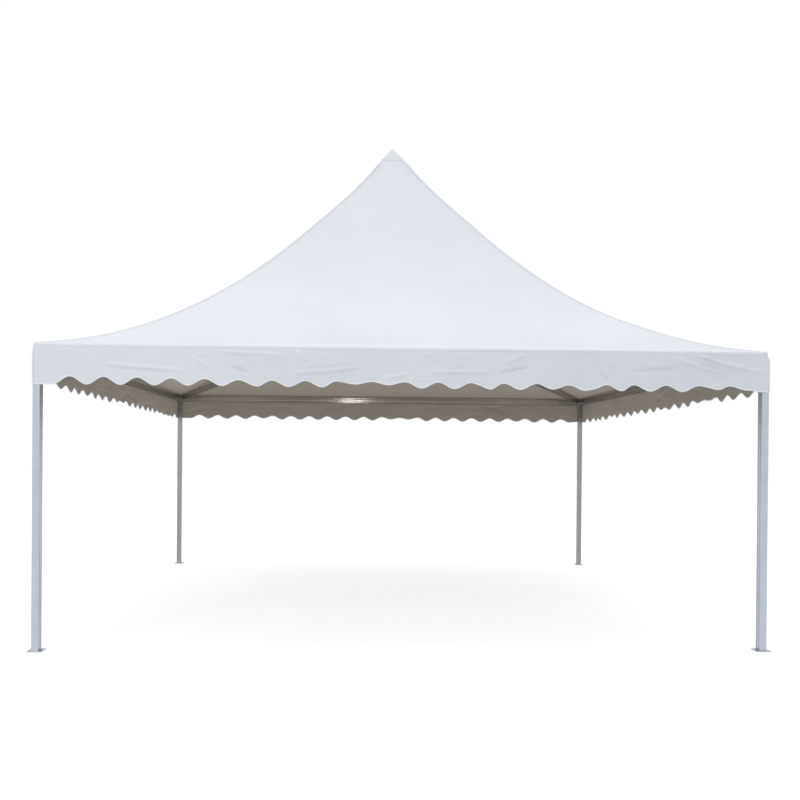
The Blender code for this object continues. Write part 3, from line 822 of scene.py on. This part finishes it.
def build_hip_welts():
    """A welded band with a round cord along each hip."""
    section = mirrored(WELT_HALF_SECTION, [(0.0, WELT_HEIGHT)])
    welts = []
    for side, corner in enumerate(CORNERS):
        before = (side + 3) % 4
        points = []
        for row in range(COVER_ROWS):
            step = WELT_START + (WELT_END - WELT_START) * row / (COVER_ROWS - 1)
            fraction, _ = hip_point(step)
            outwards = (cover_normal(side, -1.0, step) + cover_normal(before, 1.0, step)).normalized()
            narrow = min(1.0, 0.35 * fraction * COVER_HALF_X / WELT_HALF_WIDTH)
            flat = 1 - 0.97 * smoothstep(CAP_START - 0.030, CAP_START - 0.004, step)
            for reach, lift in section:
                beside = side if reach > 0 else before
                share = abs(reach) * narrow / (fraction * side_halves(beside)[1])
                across = -1 + share if reach > 0 else 1 - share
                points.append(cover_place(beside, across, step) + outwards * lift * flat)
        faces = grid_faces(len(section), COVER_ROWS)
        welt = mesh_object(f"hip_welt_{corner}", points, faces, [COVER_OUTSIDE])
        welts.append(dress(welt, "cover"))
    return welts


# Valance
def valance_hem(side, along):
    """The hem's depth under the top of the valance, from its place along the side."""
    count = (along - HEM_SHIFTS[side]) / SCALLOP_PITCH + SCALLOP_COUNT / 2
    if side == 0:
        count -= sum(
            drift * math.cos(math.pi * (count - spot)) ** 2
            for spot, drift in FRONT_HEM_DRIFTS.items() if abs(count - spot) < 0.5
        )
    half = side_halves(side)[1]
    first, last = HEM_RAISES[side]
    raised = first + (last - first) * (along + half) / (2 * half)
    rise = HEM_CORNER_RAISE + (raised - HEM_CORNER_RAISE) * smoothstep(0.0, 0.30, half - abs(along))
    rise /= SCALLOP_HEIGHT
    if 0 < count < SCALLOP_COUNT:
        rise += (1 - math.cos(2 * math.pi * count)) / 2
    for spot in (round(count), math.floor(count) + 0.5):
        rise += HEM_LIFTS[side].get(spot, 0.0) * math.cos(math.pi * (count - spot)) ** 2
    return VALANCE_DROP - SCALLOP_HEIGHT * rise


def crease_height(creases, along, depth):
    """The sum of soft ridges along short lines in the valance's plane."""
    total = 0.0
    for start_x, start_y, end_x, end_y, width, height in creases:
        run_x = end_x - start_x
        run_y = end_y - start_y
        length_squared = run_x * run_x + run_y * run_y
        share = ((along - start_x) * run_x + (depth - start_y) * run_y) / length_squared
        if not -0.4 < share < 1.4:
            continue
        held = min(max(share, 0.0), 1.0)
        gap_x = along - start_x - held * run_x
        gap_y = depth - start_y - held * run_y
        gap = (gap_x * gap_x + gap_y * gap_y) / (width * width)
        if gap < 9.0:
            taper = math.sin(math.pi * min(max((share + 0.2) / 1.4, 0.0), 1.0))
            total += height * taper * math.exp(-gap)
    return total


def random_creases(draw, count):
    """Creases for a side that the photograph doesn't show from outside."""
    creases = []
    for _ in range(count):
        along = draw.uniform(-2.8, 2.8)
        depth = draw.uniform(0.03, 0.26)
        run = draw.uniform(0.12, 0.55)
        tilt = math.radians(draw.uniform(-28, 28))
        end = (along + run * math.cos(tilt), depth + run * math.sin(tilt) * 0.6)
        creases.append((along, depth, *end, draw.uniform(0.016, 0.036), draw.uniform(-0.0030, 0.0045)))
    return creases


DRAW = random.Random(SEED)
CREASES = [FRONT_CREASES] + [random_creases(DRAW, SIDE_CREASES) for _ in SIDES[1:]]


def valance_offset(side, along, depth):
    """How far the valance stands out of its plane at a place along it and a depth under its top."""
    half_along = side_halves(side)[1]
    loose = smoothstep(0.07, 0.34, depth)
    swing = 0.006 * math.sin(2 * math.pi * along / 2.3 + 1.7 * side)
    swing += 0.005 * math.sin(2 * math.pi * along / 0.83 + 0.6 + 2.1 * side)
    swing += 0.010 * noise.noise(Vector((along * 1.9, depth * 1.5, 4.0 * side)))
    curl = 0.006 * noise.noise(Vector((along * 7.5, 2.0, 9.0 + side))) * smoothstep(0.22, 0.34, depth)
    # Fine wrinkles from folding, longer along the strip than across it
    folded = noise.noise(Vector((along * 7.0, depth * 26.0, 3.0 * side)))
    patches = smoothstep(-0.1, 0.35, noise.noise(Vector((along * 1.3, depth * 4, side))))
    wrinkle = WRINKLE_HEIGHT * (0.5 - abs(folded)) * patches
    offset = swing * loose + curl + wrinkle + CREASE_GAINS[side] * crease_height(CREASES[side], along, depth)
    # No cloth goes into a beam or a leg behind it
    room = 0.022 * smoothstep(0.105, 0.20, depth) * smoothstep(0.02, 0.16, half_along - 0.13 - abs(along))
    room += VALANCE_STAND - CLOTH_THICKNESS + 0.0038
    return max(offset, -room)


def valance_place(side, along, depth, lift=0.0):
    """A point of the valance's outer face."""
    half_out, half_along = side_halves(side)
    gap = half_along + VALANCE_STAND - abs(along)
    # The cloth swells outwards a little near its upright edges
    swell = CORNER_SWELL * math.sin(math.pi * min(depth / VALANCE_DROP, 1.0)) * math.exp(-((gap / 0.16) ** 2))
    calm = smoothstep(0.0, 0.10, gap) * smoothstep(0.024, 0.056, depth)
    draw = corner_draw(side, along, gap, depth)
    out = half_out + VALANCE_STAND + swell - draw + valance_offset(side, along, depth) * calm + lift
    shifted = along + math.copysign(1.0, along) * (swell - draw)
    return side_turn(side) @ Vector((shifted, -out, VALANCE_HIGH - depth))


def build_valance():
    """Four hanging strips with scalloped hems, each with its binding."""
    for side, name in enumerate(SIDES):
        half = side_halves(side)[1] + VALANCE_STAND
        count = int(2 * half / VALANCE_SPACING)
        columns = [-half + 2 * half * index / count for index in range(count + 1)]
        points = []
        layout = []
        for row in range(VALANCE_ROWS):
            share = row / (VALANCE_ROWS - 1)
            for along in columns:
                depth = VALANCE_TUCK + (valance_hem(side, along) - VALANCE_TUCK) * share
                points.append(valance_place(side, along, depth))
                layout.append((along, -depth))
        faces = grid_faces(len(columns), VALANCE_ROWS, flipped=True)
        strip = mesh_object(f"valance_cloth_{name}", points, faces, [SHADED_VALANCE_OUTSIDE, COVER_INSIDE_SHADE_AND_GLOW])
        lay_out(strip, layout)
        thicken(strip, inner_slot=1)
        binding = build_binding(side, name, columns)
        dress(strip, "valance", f"valance_{name}")
        dress(binding, "valance")
        depth = VALANCE_DROP - VALANCE_TUCK


def build_binding(side, name, columns):
    """A narrow tape folded round the hem."""
    points = []
    for up, out in BINDING_SECTION:
        points += [valance_place(side, along, valance_hem(side, along) - up, out) for along in columns]
    faces = grid_faces(len(columns), len(BINDING_SECTION), flipped=True)
    return mesh_object(f"hem_binding_{name}", points, faces, [BINDING])


def build_peak_cap():
    """A small cloth cap over the tip of the cover, with a wavy hem."""
    ring = [(side, -1 + 2 * place / CAP_COLUMNS) for side in range(4) for place in range(CAP_COLUMNS)]
    points = []
    for row in range(CAP_ROWS):
        share = row / CAP_ROWS
        stand = CAP_HEM_STAND + (CAP_STAND - CAP_HEM_STAND) * smoothstep(0.0, 0.25, share)
        for side, across in ring:
            dip = 0.002 * math.cos(4 * math.pi * across) * (1 - share) ** 3
            step = CAP_START + (1 - CAP_START) * share + dip
            surface = cover_place(side, across, step)
            lift = stand + cover_relief(side, across, step, surface)
            points.append(surface + cover_normal(side, across, step - 0.005) * lift)
    faces = grid_faces(len(ring), CAP_ROWS, closed=True)
    close_top(points, faces, len(ring), (0.0, 0.0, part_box("peak_cap")[1].z))
    cap = mesh_object("peak_cap_cloth", points, faces, [CAP_CLOTH])
    thicken(cap)
    dress(cap, "peak_cap", "peak_cap")


def corner_edge_place(number, reach, depth, lift):
    """A point beside an upright edge, between the last end of a side and the first end of the next."""
    side = number if reach > 0 else (number + 3) % 4
    end = side_halves(side)[1] + VALANCE_STAND
    return valance_place(side, reach - math.copysign(end, reach), depth, lift)


def build_corner_seams():
    """The upright edges of the valance: a folded tape and its stitches."""
    section = mirrored(SEAM_HALF_SECTION)
    for number, corner in enumerate(CORNERS):
        points = []
        for row in range(SEAM_ROWS):
            depth = SEAM_TOP + (VALANCE_DROP - SEAM_TOP) * row / (SEAM_ROWS - 1)
            points += [corner_edge_place(number, reach, depth, lift) for reach, lift in section]
        faces = grid_faces(len(section), SEAM_ROWS, flipped=True)
        dress(mesh_object(f"corner_seam_{corner}", points, faces, [BINDING]), "valance")
        stitches = bmesh.new()
        for index in range(int((VALANCE_DROP - SEAM_TOP) / STITCH_PITCH)):
            depth = SEAM_TOP + STITCH_PITCH * (index + 0.5)
            for reach in (STITCH_REACH, -STITCH_REACH):
                top = corner_edge_place(number, reach, depth - STITCH_LENGTH / 2, STITCH_LIFT)
                bottom = corner_edge_place(number, reach, depth + STITCH_LENGTH / 2, STITCH_LIFT)
                add_rod(stitches, top, bottom, STITCH_RADIUS, 6)
        dress(solid_object(f"corner_stitches_{corner}", stitches, THREAD), "valance")


# Fittings
def add_rod(bm, start, end, radius, sides, end_radius=None):
    """Adds a closed rod between two points to a mesh, its far end as wide as end_radius."""
    start = Vector(start)
    end = Vector(end)
    run = end - start
    turn = run.to_track_quat("Z", "Y").to_matrix().to_4x4()
    place = Matrix.Translation((start + end) / 2) @ turn
    bmesh.ops.create_cone(
        bm, cap_ends=True, segments=sides, radius1=radius,
        radius2=radius if end_radius is None else end_radius, depth=run.length, matrix=place,
    )


def add_bolt(bm, place, axis):
    """Adds a washer, a hexagon head with a turned rim and the bolt's end to a mesh."""
    place = Vector(place)
    axis = Vector(axis).normalized()
    levels = (
        (0.0, WASHER_THICKNESS, WASHER_RADIUS, WASHER_RADIUS * 0.94, 20),
        (WASHER_THICKNESS, HEAD_SHOULDER, HEAD_RADIUS, HEAD_RADIUS, 6),
        (HEAD_SHOULDER, WASHER_THICKNESS + HEAD_HEIGHT, HEAD_RADIUS * 0.94, HEAD_RADIUS * 0.78, 18),
    )
    for low, high, low_radius, high_radius, sides in levels:
        add_rod(bm, place + axis * low, place + axis * high, low_radius, sides, high_radius)


def bevelled(obj, width, segments=2):
    """Rounds the sharp edges of a piece."""
    bevel = obj.modifiers.new("edges", "BEVEL")
    bevel.width = width
    bevel.segments = segments
    bevel.limit_method = "ANGLE"
    bevel.angle_limit = math.radians(35)
    obj.modifiers.move(len(obj.modifiers) - 1, 0)
    return obj


def add_weld(bm, centre, draw):
    """Adds a bead of weld round a leg to a mesh."""
    points = rounded_rectangle(LEG_WIDTH / 2 + 0.001, LEG_DEPTH / 2 + 0.001, 0.004, 5)
    ring = [Vector((centre.x + x, centre.y + y, PLATE_THICKNESS + 0.0005)) for x, y in points]
    for start, end in zip(ring, ring[1:] + ring[:1]):
        steps = max(1, int((end - start).length / WELD_STEP))
        for index in range(steps):
            low = start.lerp(end, index / steps)
            high = start.lerp(end, (index + 1) / steps)
            radius = WELD_RADIUS * draw.uniform(0.85, 1.15)
            add_rod(bm, low, high + (high - low) * 0.25, radius, 8, radius * 0.9)


def build_foot_plates():
    """A plate under each leg, with peg holes at its corners and a weld round the leg."""
    at = PLATE_HALF - PLATE_HOLE_INSET
    holes = [arc_points(x, y, PLATE_HOLE_RADIUS, 0, 345, 23) for x in (-at, at) for y in (-at, at)]
    outline = rounded_rectangle(PLATE_HALF, PLATE_HALF, 0.010, 6)
    for corner, (sign_x, sign_y) in CORNERS.items():
        centre = Vector((sign_x * HALF_SPAN, sign_y * HALF_SPAN, PLATE_THICKNESS / 2))
        plate = extrude_outline(
            f"base_plate_{corner}", [outline] + holes, PLATE_THICKNESS, STEEL, Matrix.Translation(centre)
        )
        dress(bevelled(plate, 0.0010), "foot_plate", f"foot_plate_{corner}")
        weld = bmesh.new()
        add_weld(weld, centre, random.Random(SEED + sign_x + 3 * sign_y))
        dress(solid_object(f"base_weld_{corner}", weld, STEEL), "foot_plate")


def add_rafter_bolts(bm, signs, level):
    """Adds a bolt on each side of a rafter to a mesh, at a level distance from its leg."""
    inwards = corner_direction(signs)
    across = Vector((-inwards.y, inwards.x, 0.0))
    for axis in (-across, across):
        add_bolt(bm, rafter_place(signs, level) + axis * RAFTER_WIDTH / 2, axis)


def build_corner_joints():
    """The block on each leg that the beams and the rafter run into, with its bolts."""
    reach = JOINT_CHAMFER_DISTANCE * math.sqrt(2)
    inner_x = HALF_SPAN - JOINT_INNER_X
    inner_y = HALF_SPAN - JOINT_INNER_Y
    left = -LEG_WIDTH / 2
    front = -LEG_DEPTH / 2
    plan = (
        (left, front + JOINT_OUTER_CHAMFER), (left + JOINT_OUTER_CHAMFER, front), (inner_x, front),
        (inner_x, reach - inner_x), (reach - inner_y, inner_y), (left, inner_y),
    )
    for corner, (sign_x, sign_y) in CORNERS.items():
        centre = Vector((sign_x * HALF_SPAN, sign_y * HALF_SPAN, BEAM_MIDDLE))
        outline = [(-sign_x * x, -sign_y * y) for x, y in plan]
        block = extrude_outline(
            f"joint_block_{corner}", [outline], BEAM_HEIGHT, DARK_STEEL, Matrix.Translation(centre)
        )
        dress(bevelled(block, 0.0050, 3), "corner_joint", f"corner_joint_{corner}")
        bolts = bmesh.new()
        leg_face_x = sign_x * (HALF_SPAN - LEG_WIDTH / 2)
        beam_face_x = sign_x * (HALF_SPAN - BEAM_WIDTH / 2)
        beam_face_y = sign_y * (FRAME_HALF_Y - BEAM_WIDTH)
        for along in BOLT_PLACES:
            add_bolt(bolts, (sign_x * (JOINT_INNER_X - along), beam_face_y, BEAM_MIDDLE), (0, -sign_y, 0))
            beam_bolt = (beam_face_x, sign_y * (JOINT_INNER_Y - along), BEAM_MIDDLE)
            add_bolt(bolts, beam_bolt, (-sign_x, 0, 0))
            add_bolt(bolts, (leg_face_x, sign_y * HALF_SPAN, LEG_HIGH - along), (-sign_x, 0, 0))
            add_rafter_bolts(bolts, (sign_x, sign_y), JOINT_CHAMFER_DISTANCE + along)
        dress(solid_object(f"joint_bolts_{corner}", bolts, DARK_STEEL), "corner_joint")


def build_hub():
    """The hub's block, a collar round the foot of the mast, and the bolts through the rafter ends."""
    outline = rounded_rectangle(HUB_HALF_WIDTH, HUB_HALF_WIDTH, 0.006)
    turn = Matrix.Rotation(math.radians(45), 4, "Z")
    middle = Matrix.Translation((0.0, 0.0, HUB_LOW + HUB_HEIGHT / 2))
    block = extrude_outline("hub_block", [outline], HUB_HEIGHT, DARK_STEEL, middle @ turn)
    dress(bevelled(block, 0.0020), "centre_hub", "centre_hub")
    collar = bmesh.new()
    top = HUB_LOW + HUB_HEIGHT
    flange_top = (0, 0, top + COLLAR_FLANGE_TOP)
    add_rod(collar, (0, 0, top), flange_top, COLLAR_FLANGE_RADIUS, 32, COLLAR_FLANGE_RADIUS - 0.002)
    add_rod(collar, flange_top, (0, 0, top + COLLAR_TOP), COLLAR_RADIUS, 32, COLLAR_RADIUS - 0.001)
    dress(solid_object("mast_collar", collar, DARK_STEEL), "centre_hub")
    bolts = bmesh.new()
    for signs in CORNERS.values():
        for along in BOLT_PLACES:
            add_rafter_bolts(bolts, signs, DIAGONAL - HUB_HALF_WIDTH - along)
    for sign in (1, -1):
        add_bolt(bolts, (sign * COLLAR_RADIUS, 0.0, top + COLLAR_BOLT_HEIGHT), (sign, 0, 0))
    dress(solid_object("hub_bolts", bolts, DARK_STEEL), "centre_hub")


def paint_nodes():
    """Gives the mast and its head, whose solids stay, their finishes."""
    for name, material in (("mast", LEG_METAL), ("mast_head", STEEL)):
        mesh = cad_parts[name].data
        mesh.materials.clear()
        mesh.materials.append(material)


# Floor, light and camera
def build_floor():
    """A wide pale floor."""
    points = [(sign_x * FLOOR_HALF, sign_y * FLOOR_HALF, FLOOR_LEVEL) for sign_x, sign_y in CORNERS.values()]
    floor = mesh_object("floor", points, [(0, 1, 2, 3)], [floor_material()])


def add_lamp(name, place, target, width, height, energy):
    """Adds a soft rectangular light that faces a place and isn't seen itself."""
    data = bpy.data.lights.new(name, "AREA")
    data.shape = "RECTANGLE"
    data.size = width
    data.size_y = height
    data.energy = energy
    lamp = place_object(name, data)
    lamp.location = place
    lamp.rotation_euler = (Vector(target) - Vector(place)).to_track_quat("-Z", "Y").to_euler()
    lamp.visible_camera = False


def build_light():
    """An even white surround and the lamps."""
    world = bpy.data.worlds.new("white_surround")
    world.use_nodes = True
    background = world.node_tree.nodes["Background"]
    background.inputs["Color"].default_value = (1.0, 1.0, 1.0, 1.0)
    background.inputs["Strength"].default_value = 1.0
    bpy.context.scene.world = world
    for name, settings in LAMPS.items():
        add_lamp(name, *settings)
    bpy.context.scene.view_settings.view_transform = "Standard"


def build_camera():
    """The photograph's viewpoint."""
    data = bpy.data.cameras.new("camera")
    data.lens = CAMERA_LENS
    data.sensor_width = CAMERA_SENSOR
    data.shift_x, data.shift_y = CAMERA_SHIFT
    data.clip_end = 400.0
    camera = place_object("camera", data)
    turn = Matrix.Rotation(math.radians(-CAMERA_TURN), 4, "Z")
    tilt = Matrix.Rotation(math.radians(90 + CAMERA_TILT), 4, "X")
    roll = Matrix.Rotation(math.radians(CAMERA_ROLL), 4, "Z")
    camera.matrix_world = Matrix.Translation(CAMERA_PLACE) @ turn @ tilt @ roll
    bpy.context.scene.camera = camera


build_camera()
build_light()
build_floor()
build_legs()
build_beams()
build_rafters()
build_cover()
build_valance()
build_corner_seams()
build_peak_cap()
build_foot_plates()
build_corner_joints()
build_hub()
paint_nodes()
